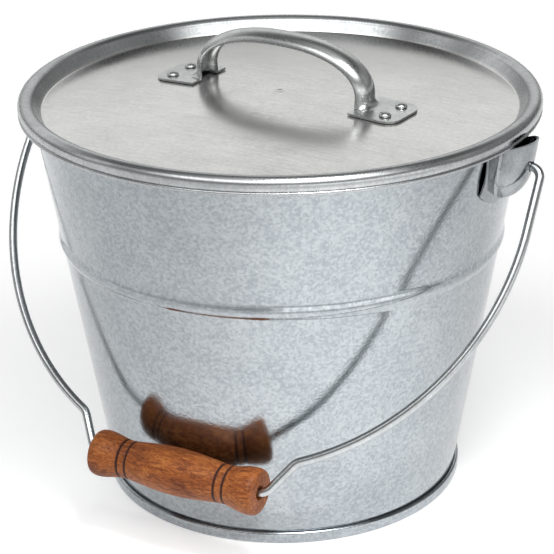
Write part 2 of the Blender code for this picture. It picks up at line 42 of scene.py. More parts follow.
wall = dict(footRadius=103.6, footHeight=1.5, mouthRadius=141.9, rimHeight=233.6, gauge=0.8,
            beadHeight=154.2, beadWidth=11.0, beadRise=1.6, beadSteps=24, neck=3.0,
            rowsBelow=(12, 145, 12), rowsAbove=(168, 228, 12),
            curlRadius=3.3, curlWrap=285, curlTuck=0.25, curlSteps=32, steps=160)
wall["slope"] = ((wall["mouthRadius"] - wall["footRadius"])
                 / (wall["rimHeight"] - wall["footHeight"]))
wall["curlCentre"] = wall["mouthRadius"] - wall["gauge"] / 2 + wall["curlRadius"]


def wallRadius(height):  # outside of the plain wall
    return wall["footRadius"] + (height - wall["footHeight"]) * wall["slope"]


def ease(value):
    value = min(max(value, 0.0), 1.0)
    return value * value * (3.0 - 2.0 * value)


def arcPath(centre, radius, start, end, count):
    points = []
    for index in range(count + 1):
        angle = math.radians(start + (end - start) * index / count)
        points.append(Vector(centre) + Vector((math.cos(angle), math.sin(angle))) * radius)
    return points


def bentPath(corners, degreesPerStep=8):  # corners are (across, up, bend radius)
    points = [Vector(corners[0][:2])]
    for before, corner, after in zip(corners, corners[1:], corners[2:]):
        spot = Vector(corner[:2])
        first = (spot - Vector(before[:2])).normalized()
        second = (Vector(after[:2]) - spot).normalized()
        turn = -first.angle_signed(second)
        if abs(turn) < 0.002 or corner[2] == 0:
            points.append(spot)
            continue
        start = spot - first * corner[2] * math.tan(abs(turn) / 2)
        centre = start + Vector((-first.y, first.x)) * math.copysign(corner[2], turn)
        steps = max(2, round(abs(math.degrees(turn)) / degreesPerStep))
        for index in range(steps + 1):
            points.append(centre + Matrix.Rotation(turn * index / steps, 2) @ (start - centre))
    points.append(Vector(corners[-1][:2]))
    return points


def sidePath(path, distance):  # the path moved to the left of its direction
    moved = []
    for index, here in enumerate(path):
        first = (here - path[index - 1]).normalized() if index else (path[1] - here).normalized()
        second = (path[index + 1] - here).normalized() if index < len(path) - 1 else first
        normal = Vector((-(first + second).y, (first + second).x)).normalized()
        moved.append(here + normal * distance / max(normal.dot(Vector((-first.y, first.x))), 0.5))
    return moved


def sheetSection(path, gauge):
    return sidePath(path, gauge / 2) + sidePath(path, -gauge / 2)[::-1]


def finishMesh(name, shape, sharpAngle=35):
    bmesh.ops.remove_doubles(shape, verts=shape.verts, dist=weldDistance)
    if shape.calc_volume(signed=True) < 0:
        bmesh.ops.reverse_faces(shape, faces=shape.faces)
    mesh = bpy.data.meshes.new(name)
    shape.to_mesh(mesh)
    shape.free()
    mesh.shade_smooth()
    mesh.set_sharp_from_angle(angle=math.radians(sharpAngle))
    piece = bpy.data.objects.new(name, mesh)
    bpy.context.scene.collection.objects.link(piece)
    return piece


def turnedPiece(name, section, steps, closed=True, place=None):
    shape = bmesh.new()
    rings = []
    for radius, height in section:
        ring = []
        for index in range(steps if radius > 0.001 else 1):
            angle = 2 * math.pi * index / steps
            spot = Vector((radius * math.cos(angle), radius * math.sin(angle), height)) * mm
            ring.append(shape.verts.new(place @ spot if place else spot))
        rings.append(ring)
    pairs = list(zip(rings, rings[1:])) + ([(rings[-1], rings[0])] if closed else [])
    for upper, lower in pairs:
        for index in range(steps):
            corners = []
            for ring, step in ((upper, index), (upper, index + 1), (lower, index + 1), (lower, index)):
                vert = ring[step % len(ring)]
                if vert not in corners:
                    corners.append(vert)
            if len(corners) > 2:
                shape.faces.new(corners)
    return finishMesh(name, shape)


sheet = dict(edgeRound=0.3, edgeSegments=2, edgeAngle=50)


def sheetPiece(name, rows, gauge, levels=1):  # a grid thickened on the side its faces point to
    shape = bmesh.new()
    grid = [[shape.verts.new(Vector(spot) * mm) for spot in row] for row in rows]
    for low, high in zip(grid, grid[1:]):
        for index in range(len(low) - 1):
            shape.faces.new((low[index], low[index + 1], high[index + 1], high[index]))
    mesh = bpy.data.meshes.new(name)
    shape.to_mesh(mesh)
    shape.free()
    mesh.shade_smooth()
    piece = bpy.data.objects.new(name, mesh)
    bpy.context.scene.collection.objects.link(piece)
    thicken = piece.modifiers.new("gauge", "SOLIDIFY")
    thicken.thickness = gauge * mm
    thicken.offset = 1.0
    rounding = piece.modifiers.new("rolledEdge", "BEVEL")
    rounding.width = gauge * sheet["edgeRound"] * mm
    rounding.segments = sheet["edgeSegments"]
    rounding.limit_method = "ANGLE"
    rounding.angle_limit = math.radians(sheet["edgeAngle"])
    smooth = piece.modifiers.new("pressing", "SUBSURF")
    smooth.levels = levels
    smooth.render_levels = levels
    return piece


def plainMesh(piece, name):  # the evaluated piece as an ordinary mesh at the origin
    bpy.context.view_layer.update()
    graph = bpy.context.evaluated_depsgraph_get()
    mesh = bpy.data.meshes.new_from_object(piece.evaluated_get(graph))
    bpy.data.objects.remove(piece, do_unlink=True)
    made = bpy.data.objects.new(name, mesh)
    bpy.context.scene.collection.objects.link(made)
    return made


def newMaterial(name):
    material = bpy.data.materials.new(name)
    material.use_nodes = True
    return material, material.node_tree, material.node_tree.nodes["Principled BSDF"]


def addNode(tree, kind, settings=None, **inputs):
    made = tree.nodes.new(kind)
    for key, value in (settings or {}).items():
        setattr(made, key, value)
    for key, value in inputs.items():
        socket = made.inputs[key]
        if isinstance(value, bpy.types.NodeSocket):
            tree.links.new(value, socket)
        else:
            socket.default_value = value
    return made


def objectCoords(tree, scale=(1, 1, 1)):
    coords = addNode(tree, "ShaderNodeTexCoord")
    mapping = addNode(tree, "ShaderNodeMapping", Vector=coords.outputs["Object"], Scale=scale)
    return mapping.outputs["Vector"]


def mathNode(tree, operation, first, second=0.0):
    made = tree.nodes.new("ShaderNodeMath")
    made.operation = operation
    for socket, value in zip(made.inputs, (first, second)):
        if isinstance(value, bpy.types.NodeSocket):
            tree.links.new(value, socket)
        else:
            socket.default_value = value
    return made.outputs[0]


def rangeNode(tree, value, low, high, outLow, outHigh):
    made = addNode(tree, "ShaderNodeMapRange", Value=value)
    for key, number in (("From Min", low), ("From Max", high), ("To Min", outLow), ("To Max", outHigh)):
        made.inputs[key].default_value = number
    return made.outputs["Result"]


def weighted(tree, *shares):  # sum of (value, share) pairs
    total = mathNode(tree, "MULTIPLY", *shares[0])
    for value, share in shares[1:]:
        total = mathNode(tree, "ADD", total, mathNode(tree, "MULTIPLY", value, share))
    return total


def noise(tree, scale, detail, roughness=0.5, distortion=0.0, stretch=None):
    coords = objectCoords(tree, stretch or (1, 1, 1))
    made = addNode(tree, "ShaderNodeTexNoise", Vector=coords, Scale=scale, Detail=detail,
                   Roughness=roughness, Distortion=distortion)
    return made.outputs["Fac"]


def addBump(tree, shader, height, strength, distance):
    bump = addNode(tree, "ShaderNodeBump", Height=height, Strength=strength, Distance=distance)
    tree.links.new(bump.outputs["Normal"], shader.inputs["Normal"])


def mixNode(tree, share, first, second):
    made = addNode(tree, "ShaderNodeMix", {"data_type": "RGBA"})
    for key, value in (("Factor", share), ("A", first), ("B", second)):
        if isinstance(value, bpy.types.NodeSocket):
            tree.links.new(value, made.inputs[key])
        else:
            made.inputs[key].default_value = (*value, 1.0)
    return made.outputs["Result"]


def rampNode(tree, value, stops):
    made = addNode(tree, "ShaderNodeValToRGB", Fac=value)
    ramp = made.color_ramp
    while len(ramp.elements) < len(stops):
        ramp.elements.new(0.5)
    for element, (place, colour) in zip(ramp.elements, stops):
        element.position = place
        element.color = (*colour, 1.0)
    return made.outputs["Color"]


toneRange = (0.38, 0.62)  # where the summed noises lie

spangle = dict(patch=430, patchRough=0.6, patchTwist=0.8, crystal=700, blur=0.5, cloud=40, grain=2100,
               shares=(0.30, 0.22, 0.22, 0.26), dark=(0.298, 0.323, 0.343),
               mid=(0.358, 0.384, 0.404), light=(0.418, 0.445, 0.465),
               smooth=0.10, rough=0.17, footDull=0.06, bump=0.22, relief=0.0003)


def spangledZinc(name, dull=0.0):  # hot-dip zinc: small crystals over a fine grain
    material, tree, shader = newMaterial(name)
    patches = noise(tree, spangle["patch"], 3.0, spangle["patchRough"], spangle["patchTwist"])
    crystals = addNode(tree, "ShaderNodeTexVoronoi", {"feature": "SMOOTH_F1"}, Vector=objectCoords(tree),
                       Scale=spangle["crystal"], Smoothness=spangle["blur"])
    tone = addNode(tree, "ShaderNodeSeparateColor", Color=crystals.outputs["Color"]).outputs[0]
    cloud = noise(tree, spangle["cloud"], 4.0)
    grain = noise(tree, spangle["grain"], 2.0)
    total = weighted(tree, *zip((patches, tone, cloud, grain), spangle["shares"]))
    low, high = toneRange
    stops = [(low, spangle["dark"]), ((low + high) / 2, spangle["mid"]), (high, spangle["light"])]
    tree.links.new(rampNode(tree, total, stops), shader.inputs["Base Color"])
    gloss = rangeNode(tree, total, low, high, spangle["rough"] + dull, spangle["smooth"] + dull)
    tree.links.new(gloss, shader.inputs["Roughness"])
    shader.inputs["Metallic"].default_value = 1.0
    addBump(tree, shader, total, spangle["bump"], spangle["relief"])
    return material


satin = dict(dark=(0.59, 0.59, 0.575), light=(0.68, 0.68, 0.665), smooth=0.17, rough=0.26,
             shadedEdgeDark=(0.37, 0.385, 0.39), shadedEdgeLight=(0.50, 0.515, 0.52), edgeDull=0.06,
             edge=(0.1364, 0.1376), cloud=30.0, cloudRough=0.6, pits=520.0, rolling=(75, 620, 75),
             shares=(0.40, 0.33, 0.27), bump=0.010, relief=0.0004)


def satinLidSteel():  # rolled sheet: bright on the panel; where the press formed it (recess wall and lip) rougher, bluer and darker, the darker tone partly painted shade
    material, tree, shader = newMaterial("satinLidSteel")
    spot = addNode(tree, "ShaderNodeTexCoord").outputs["Object"]
    parts = addNode(tree, "ShaderNodeSeparateXYZ", Vector=spot)
    level = addNode(tree, "ShaderNodeCombineXYZ", X=parts.outputs["X"], Y=parts.outputs["Y"])
    reach = addNode(tree, "ShaderNodeVectorMath", {"operation": "LENGTH"})
    tree.links.new(level.outputs[0], reach.inputs[0])
    formed = rangeNode(tree, reach.outputs["Value"], *satin["edge"], 0.0, 1.0)
    cloud = noise(tree, satin["cloud"], 5.0, satin["cloudRough"])
    pits = noise(tree, satin["pits"], 3.0)
    rolled = noise(tree, 1.0, 3.0, stretch=satin["rolling"])
    total = weighted(tree, *zip((cloud, pits, rolled), satin["shares"]))
    low, high = toneRange
    panel = rampNode(tree, total, [(low, satin["dark"]), (high, satin["light"])])
    # painted shade in part: the recess wall and lip get a darker tone than the panel; the rest of the
    # difference is a duller, bluer finish
    edge = rampNode(tree, total, [(low, satin["shadedEdgeDark"]), (high, satin["shadedEdgeLight"])])
    tree.links.new(mixNode(tree, formed, panel, edge), shader.inputs["Base Color"])
    gloss = rangeNode(tree, total, low, high, satin["rough"], satin["smooth"])
    gloss = mathNode(tree, "ADD", gloss, mathNode(tree, "MULTIPLY", formed, satin["edgeDull"]))
    tree.links.new(gloss, shader.inputs["Roughness"])
    shader.inputs["Metallic"].default_value = 1.0
    addBump(tree, shader, total, satin["bump"], satin["relief"])
    return material


steel = dict(shares=(0.65, 0.35), markRough=0.65, fineness=9, tones=(0.36, 0.62), bump=0.012, relief=0.0003)
# painted shade: the ears' zinc is set darker than the wall's, standing in for the darker surroundings they
# reflect
steel["shadedEarZinc"] = dict(dark=(0.22, 0.235, 0.245), light=(0.35, 0.365, 0.375), smooth=0.10, rough=0.17,
                        scale=80)
steel["handleSteel"] = dict(dark=(0.50, 0.51, 0.51), light=(0.61, 0.62, 0.62), smooth=0.24, rough=0.33,
                            scale=60)
steel["wireSteel"] = dict(dark=(0.36, 0.375, 0.38), light=(0.50, 0.515, 0.52), smooth=0.19, rough=0.28,
                          scale=90)


def brightSteel(name, dark, light, smooth, rough, scale):  # pressed or drawn, with handling marks
    material, tree, shader = newMaterial(name)
    marks = noise(tree, scale, 5.0, steel["markRough"])
    fine = noise(tree, scale * steel["fineness"], 2.0)
    total = weighted(tree, *zip((marks, fine), steel["shares"]))
    low, high = steel["tones"]
    tree.links.new(rampNode(tree, total, [(low, dark), (high, light)]), shader.inputs["Base Color"])
    tree.links.new(rangeNode(tree, total, low, high, rough, smooth), shader.inputs["Roughness"])
    shader.inputs["Metallic"].default_value = 1.0
    addBump(tree, shader, total, steel["bump"], steel["relief"])
    return material


wood = dict(dark=(0.120, 0.027, 0.006), mid=(0.270, 0.075, 0.015), light=(0.430, 0.148, 0.035),
            tones=(0.40, 0.50, 0.61), fleck=(0.090, 0.020, 0.005), fleckEdge=(0.57, 0.66), fleckShare=0.75,
            burnt=(0.040, 0.010, 0.005), grooves=(34.0, 28.7), burntHalf=0.75, burntEdge=(0.6, 1.5),
            drift=(45, 60, 60), figure=(95, 330, 330), figureTwist=2.4, grain=(150, 900, 900),
            flecks=(330, 1300, 1300), shares=(0.45, 0.25, 0.30), gloss=(0.35, 0.65, 0.56, 0.42),
            shine=0.3, fleckDepth=0.25, bump=0.3, relief=0.0006)


def stainedWood():  # turned hardwood: a curly figure, short dark flecks, and lines burnt in with a wire
    material, tree, shader = newMaterial("stainedWood")
    coords = addNode(tree, "ShaderNodeTexCoord").outputs["Object"]
    along = addNode(tree, "ShaderNodeSeparateXYZ", Vector=coords).outputs["X"]
    drift = noise(tree, 1.0, 2.0, stretch=wood["drift"])
    figure = noise(tree, 1.0, 5.0, 0.6, wood["figureTwist"], wood["figure"])
    grain = noise(tree, 1.0, 3.0, distortion=0.8, stretch=wood["grain"])
    flecks = noise(tree, 1.0, 2.0, distortion=1.2, stretch=wood["flecks"])
    total = weighted(tree, *zip((figure, drift, grain), wood["shares"]))
    tone = rampNode(tree, total, [*zip(wood["tones"], (wood["dark"], wood["mid"], wood["light"]))])
    fleckMask = rangeNode(tree, flecks, *wood["fleckEdge"], 0.0, wood["fleckShare"])
    flecked = mixNode(tree, fleckMask, tone, wood["fleck"])
    reach = mathNode(tree, "ABSOLUTE", along)
    inner, outer = (wood["burntHalf"] * share * mm for share in wood["burntEdge"])
    burnt = 0.0
    for groove in wood["grooves"]:
        away = mathNode(tree, "ABSOLUTE", mathNode(tree, "SUBTRACT", reach, groove * mm))
        burnt = mathNode(tree, "MAXIMUM", burnt, rangeNode(tree, away, inner, outer, 1.0, 0.0))
    tree.links.new(mixNode(tree, burnt, flecked, wood["burnt"]), shader.inputs["Base Color"])
    tree.links.new(rangeNode(tree, total, *wood["gloss"]), shader.inputs["Roughness"])
    shader.inputs["Specular IOR Level"].default_value = wood["shine"]
    pores = mathNode(tree, "MULTIPLY", fleckMask, wood["fleckDepth"])
    addBump(tree, shader, mathNode(tree, "SUBTRACT", total, pores), wood["bump"], wood["relief"])
    return material


zinc = spangledZinc("spangledZinc")
footZinc = spangledZinc("footZinc", spangle["footDull"])
lidSteel = satinLidSteel()
shadedEarZinc = brightSteel("shadedEarZinc", **steel["shadedEarZinc"])
handleSteel = brightSteel("handleSteel", **steel["handleSteel"])
wireSteel = brightSteel("wireSteel", **steel["wireSteel"])
gripWood = stainedWood()
print("materials made")


def addPiece(piece, material, body, slotName, *nodes):
    piece.data.materials.clear()
    piece.data.materials.append(material)
    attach(piece, body)
    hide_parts(*nodes)
    print("piece", piece.name)


def makeWall():
    low = wall["beadHeight"] - wall["beadWidth"] / 2
    heights = [wall["footHeight"], *range(*wall["rowsBelow"])]
    steps = wall["beadSteps"]
    heights += [low + wall["beadWidth"] * step / steps for step in range(steps + 1)]
    heights += [*range(*wall["rowsAbove"]), wall["rimHeight"] - wall["neck"]]
    path = []
    for height in heights:
        share = min(max((height - low) / wall["beadWidth"], 0.0), 1.0)
        rise = wall["beadRise"] * math.sin(math.pi * share) ** 2
        path.append(Vector((wallRadius(height) - wall["gauge"] / 2 + rise, height)))
    centre = Vector((wall["curlCentre"], wall["rimHeight"]))
    for spot in arcPath((0.0, 0.0), 1.0, 180, 180 - wall["curlWrap"], wall["curlSteps"]):
        tuck = wall["curlTuck"] * ease(0.5 - 2.0 * spot.y) if spot.x > 0 else 0.0  # under the lid's lip
        path.append(centre + spot * (wall["curlRadius"] - tuck))
    return turnedPiece("bodyWall", sheetSection(path, wall["gauge"]), wall["steps"])


addPiece(makeWall(), zinc, "bucket", "galvanised", "body_wall")

seam = dict(width=9.0, rise=1.0, low=10.0, drop=9.6, gauge=0.9, fold=1.6, sink=0.25, overBead=1.5,
            rows=60, columns=14)


def makeSeam():  # folded lock seam down the back of the wall
    high = wall["rimHeight"] - seam["drop"]
    rows = []
    for index in range(seam["rows"] + 1):
        height = seam["low"] + (high - seam["low"]) * index / seam["rows"]
        away = abs(height - wall["beadHeight"]) / (wall["beadWidth"] / 2)
        lift = wall["beadRise"] * ease(seam["overBead"] - away)
        row = []
        for step in range(seam["columns"] + 1):
            across = seam["width"] * (step / seam["columns"] - 0.5)
            edge = ease((seam["width"] / 2 - abs(across)) / seam["fold"])
            out = wallRadius(height) + lift + (seam["rise"] - seam["gauge"]) * edge
            out -= seam["sink"] * (1.0 - edge)
            row.append((-across, math.sqrt(out ** 2 - across ** 2), height))
        rows.append(row)
    return plainMesh(sheetPiece("sideSeam", rows, seam["gauge"], levels=0), "sideSeam")


addPiece(makeSeam(), zinc, "bucket", "galvanised")

foot = dict(radius=106.7, height=6.8, floor=1.2, bottom=7.0, gap=0.3, flat=60.0, draft=0.1,
            slant=1.02, bendStep=12, bends=(0.5, 0.2, 1.5, 1.3, 0.3, 1.5))


def makeFoot():
    gauge = wall["gauge"]
    inside = lambda height: wallRadius(height) - gauge * foot["slant"] - foot["gap"]
    outside = lambda height: wallRadius(height) + foot["gap"]
    edge = inside(foot["bottom"])
    under, ring = foot["bottom"] - gauge, foot["radius"] - foot["draft"]
    brim, lapTop, ringTop, ringFoot, ringHeel, shoulder = foot["bends"]
    corners = [(0.0, foot["bottom"], 0), (foot["flat"], foot["bottom"], 0), (edge, foot["bottom"], brim),
               (inside(foot["floor"]), foot["floor"], 0), (outside(foot["floor"]), foot["floor"], 0),
               (outside(foot["height"]), foot["height"], lapTop), (ring, foot["height"], ringTop),
               (foot["radius"], foot["height"] / 2, 0), (ring, 0.0, ringFoot),
               (inside(foot["floor"]) - gauge, 0.0, ringHeel), (edge - gauge, under, shoulder),
               (foot["flat"], under, 0), (0.0, under, 0)]
    return turnedPiece("footAndBottom", bentPath(corners, foot["bendStep"]), wall["steps"], closed=False)


addPiece(makeFoot(), footZinc, "bucket", "galvanised", "bottom_pan")

ear = dict(gauge=1.0, halfWidth=25.0, top=8.0, cornerDrop=30.5, tipDrop=41.5, standoff=1.4,
           pocketHalf=10.8, pocketDepth=14.7, squareness=2.8, bend=2.5, lipRise=4.5, floorDrop=37.8,
           floorHalf=1.6, floorPower=2.4, floorRound=0.45, gap=0.3, hingeDrop=18.5, hole=3.0,
           punchLength=10.0, punchSides=48, sharpAngle=40,
           flangeSteps=12, bendSteps=6, noseSteps=16, upperRows=9, pocketRows=28, tipRows=3)
weld = dict(across=17.5, drops=(16.0, 27.0), radius=2.2, depth=0.35, soft=1.6)


def earPlan(half, depth):  # the ear seen from above at one level, as (across, out) from edge to edge
    power = 2.0 / ear["squareness"]
    root, bend = half + ear["bend"], min(ear["bend"], depth / 2)
    plan = [(-ear["halfWidth"] + (ear["halfWidth"] - root) * step / ear["flangeSteps"], 0.0)
            for step in range(ear["flangeSteps"])]
    for step in range(ear["bendSteps"] + 1):
        angle = math.pi / 2 * step / ear["bendSteps"]
        plan.append((-root + ear["bend"] * math.sin(angle), bend * (1.0 - math.cos(angle))))
    for step in range(1, ear["noseSteps"]):
        angle = math.pi / 2 * step / ear["noseSteps"]
        out = bend + (depth - bend) * math.sin(angle) ** power
        plan.append((-half * math.cos(angle) ** power, out))
    return plan + [(0.0, depth)] + [(-across, out) for across, out in plan[::-1]]


def weldDent(across, drop):  # spot welds that hold the flanges
    dent = 0.0
    for middle in weld["drops"]:
        away = math.hypot(abs(across) - weld["across"], drop - middle) / weld["radius"]
        dent = max(dent, weld["depth"] * ease(weld["soft"] * (1.0 - away)))
    return dent


def makeEar(name, side):
    rim = wall["rimHeight"]
    hinge = rim - ear["hingeDrop"]
    top, tip, floor = rim - ear["top"], rim - ear["tipDrop"], rim - ear["floorDrop"]
    upper, lower, last = ear["upperRows"], ear["pocketRows"], ear["tipRows"]
    levels = [top + (hinge - top) * index / upper for index in range(upper)]
    for index in range(lower + 1):
        levels.append(hinge - (hinge - floor) * math.sin(math.pi / 2 * index / lower))
    levels += [floor + (tip - floor) * (index + 1) / last for index in range(last)]
    rows = []
    for level in levels:
        share = (top - level) / (top - tip)
        below = min(max(hinge - level, 0.0) / (hinge - floor), 1.0)
        full = (1.0 - below ** ear["floorPower"]) ** ear["floorRound"]
        half = ear["floorHalf"] + (ear["pocketHalf"] - ear["floorHalf"]) * full
        row = []
        for across, out in earPlan(half, ear["pocketDepth"] * full):
            edge = abs(across) / ear["halfWidth"]
            lowest = tip + (ear["tipDrop"] - ear["cornerDrop"]) * edge ** 2
            lift = ear["lipRise"] * ease(out / ear["pocketDepth"]) * (1.0 - share) ** 3
            height = top + (lowest - top) * share + lift
            stand = ear["standoff"] * ease(2.0 * edge - 1.0) * math.sin(math.pi * share)
            dent = weldDent(across, rim - height) if out == 0.0 else 0.0
            reach = math.sqrt(wallRadius(height) ** 2 - across ** 2) + ear["gap"] + stand - dent
            row.append((side * (reach + out), side * across, height))
        rows.append(row)
    piece = sheetPiece(name, rows[::-1], ear["gauge"], levels=0)
    shape = bmesh.new()
    spot = Vector((side * (wallRadius(hinge) + ear["pocketDepth"]), 0.0, hinge)) * mm
    radius = ear["hole"] * mm
    place = Matrix.Translation(spot) @ Matrix.Rotation(math.pi / 2, 4, "Y")
    bmesh.ops.create_cone(shape, cap_ends=True, segments=ear["punchSides"], radius1=radius, radius2=radius,
                          depth=ear["punchLength"] * mm, matrix=place)
    punch = finishMesh(name + "Punch", shape)
    hole = piece.modifiers.new("wireHole", "BOOLEAN")
    hole.object = punch
    made = plainMesh(piece, name)
    bpy.data.objects.remove(punch, do_unlink=True)
    made.data.set_sharp_from_angle(angle=math.radians(ear["sharpAngle"]))
    return made


addPiece(makeEar("earRight", 1), shadedEarZinc, "bucket", "galvanised", "ear_right")
addPiece(makeEar("earLeft", -1), shadedEarZinc, "bucket", "galvanised", "ear_left")

lid = dict(gauge=0.8, panelRadius=136.2, panelDrop=4.0, crown=6.4, corner=0.9, cornerOut=0.2,
           cornerLift=0.1, lipGap=0.27, lipBend=0.6, innerAngle=155, outerAngle=-25, lipSteps=24,
           hem=1.05, hemOut=3.65, hemDrop=3.95, hemTurn=(75, -230), hemSteps=22,
           pip=3.0, pipDepth=0.45, pipSoft=1.2, pipSteps=6, rings=(6, 133, 6))


def panelHeight(radius):
    return wall["rimHeight"] - lid["panelDrop"] + lid["crown"] * (1.0 - (radius / lid["panelRadius"]) ** 2)


def makeLid():
    edge = lid["panelRadius"]
    path = []
    for step in range(lid["pipSteps"] + 1):  # centre mark left by the press
        share = step / lid["pipSteps"]
        radius = lid["pip"] * share
        dent = lid["pipDepth"] * ease(lid["pipSoft"] * (1.0 - share))
        path.append(Vector((radius, panelHeight(radius) - dent)))
    path += [Vector((radius, panelHeight(radius))) for radius in range(*lid["rings"])]
    lip = arcPath((wall["curlCentre"], wall["rimHeight"]),
                  wall["curlRadius"] + wall["gauge"] / 2 + lid["lipGap"] + lid["gauge"],
                  lid["innerAngle"], lid["outerAngle"], lid["lipSteps"])
    corner = (edge + lid["cornerOut"], panelHeight(edge) + lid["cornerLift"], lid["corner"])
    corners = [(*path[-1], 0), corner, (*lip[0], lid["lipBend"]), (*lip[1], 0)]
    path += bentPath(corners)[1:-1] + lip[1:]
    below = sidePath(path, -lid["gauge"])
    below[0] = Vector((0.0, below[0].y))
    hemCentre = (wall["curlCentre"] + lid["hemOut"], wall["rimHeight"] - lid["hemDrop"])
    hem = arcPath(hemCentre, lid["hem"], *lid["hemTurn"], lid["hemSteps"])  # rolled edge of the lip
    return turnedPiece("lidPressing", path + hem + below[::-1], wall["steps"], closed=False)


addPiece(makeLid(), lidSteel, "lid", "lid_steel", "lid")

handle = dict(turn=-4.4, shift=(2.25, 1.2), gauge=1.2, footTip=81.0, footHalf=17.5, footRound=9.0,
              footSteps=14, footSpacing=1.6, footTuck=0.6, tuckPower=8, leg=57.0, rise=33.4, halfWidth=8.0,
              depth=5.0, edge=0.5, fillet=5.0, filletSteps=8, heel=2.5, heelSteps=6, heelRise=0.25,
              heelDraw=0.08, heelClear=0.2, squareness=2.4, archSteps=32, channelSteps=16, sideSteps=4,
              gap=0.3, sharpAngle=45)
handle["place"] = (Matrix.Translation((*handle["shift"], 0.0))
                   @ Matrix.Rotation(math.radians(handle["turn"]), 4, "Z"))


def handleRows():  # half the handle: crest and edge as (reach, height), then the edge's half width
    rows = []
    leg, fillet, heel, tip = handle["leg"], handle["fillet"], handle["heel"], handle["footTip"]
    start, footEnd = leg + fillet, leg - handle["depth"]
    narrow = handle["halfWidth"] + handle["edge"]
    for index in range(handle["footSteps"]):
        reach = tip + (start - tip) * (index / handle["footSteps"]) ** handle["footSpacing"]
        intoTip = max(reach - (tip - handle["footRound"]), 0.0) / handle["footRound"]
        half = handle["footHalf"] - handle["footRound"] * (1.0 - math.sqrt(max(1.0 - intoTip ** 2, 0.0)))
        rows.append((Vector((reach, 0.0)), Vector((reach, 0.0)), half))
    for index, crest in enumerate(arcPath((start, fillet), fillet, 270, 180, handle["filletSteps"])):
        share = index / handle["filletSteps"]
        half = handle["footHalf"] - handle["footTuck"] * share ** handle["tuckPower"]
        rows.append((crest, Vector((start + (footEnd - start) * share, 0.0)), half))
    turn = arcPath((0.0, 0.0), heel, 90, 0, handle["heelSteps"])
    for index, spot in enumerate(turn, start=1):  # the plate's inner end turns up into the channel
        crest = Vector((leg, fillet + handle["heelRise"] * index))
        edge = Vector((footEnd - handle["heelDraw"] * index, heel - spot.y))
        rows.append((crest, edge, narrow + heel - spot.x))
    power = 2.0 / handle["squareness"]
    tall = handle["rise"] - fillet
    for index in range(1, handle["archSteps"] + 1):
        angle = math.pi / 2 * index / handle["archSteps"]
        ahead, above = max(math.cos(angle), 0.0), math.sin(angle)
        crest = Vector((leg * ahead ** power, fillet + tall * above ** power))
        slant = math.atan2(tall * max(ahead, 0.0001) ** (2.0 - power), leg * above ** (2.0 - power))
        edge = crest - Vector((math.sin(slant), math.cos(slant))) * handle["depth"]
        rows.append((crest, Vector((edge.x, max(edge.y, heel + handle["heelClear"]))), narrow))
    return rows


def makeHandle():
    half = handleRows()
    flip = lambda spot: Vector((-spot.x, spot.y))
    rows = []
    for crest, edge, wide in half + [(flip(crest), flip(edge), wide) for crest, edge, wide in half[-2::-1]]:
        section = []
        for step in range(handle["channelSteps"] + 1):
            angle = math.pi * (step / handle["channelSteps"] - 0.5)
            spot = crest.lerp(edge, 1.0 - math.cos(angle))
            section.append((spot.x, handle["halfWidth"] * math.sin(angle), spot.y))
        for step in range(1, handle["sideSteps"] + 1):
            across = handle["halfWidth"] + (wide - handle["halfWidth"]) * step / handle["sideSteps"]
            section.insert(0, (edge.x, -across, edge.y))
            section.append((edge.x, across, edge.y))
        row = []
        for reach, across, lift in section:
            spot = handle["place"] @ Vector((reach, across, lift + handle["gap"]))
            row.append(spot + Vector((0.0, 0.0, panelHeight(spot.xy.length))))
        rows.append(row)
    piece = plainMesh(sheetPiece("lidHandle", rows, handle["gauge"], levels=1), "lidHandle")
    piece.data.set_sharp_from_angle(angle=math.radians(handle["sharpAngle"]))
    return piece


addPiece(makeHandle(), handleSteel, "lid", "bright_steel", "lid_handle")

rivet = dict(reach=71.5, spread=9.0, head=3.5, dome=2.2, domeSteps=10, edge=0.25, draft=0.1, shank=2.0,
             tail=3.0, tailFace=0.8, tailHeight=1.2, sides=32)


def nodeGroup(name, **inputs):  # an empty geometry tree with named inputs
    tree = bpy.data.node_groups.new(name, "GeometryNodeTree")
    tree.interface.new_socket("Geometry", in_out="OUTPUT", socket_type="NodeSocketGeometry")
    for key, kind in inputs.items():
        tree.interface.new_socket(key, in_out="INPUT", socket_type="NodeSocket" + kind)
    return tree, tree.nodes.new("NodeGroupInput").outputs


def endGroup(tree, geometry, material):  # real, coated geometry as the tree's result
    real = addNode(tree, "GeometryNodeRealizeInstances", Geometry=geometry)
    coated = addNode(tree, "GeometryNodeSetMaterial", Geometry=real.outputs[0], Material=material)
    result = tree.nodes.new("NodeGroupOutput")
    tree.links.new(coated.outputs[0], result.inputs["Geometry"])
    return tree


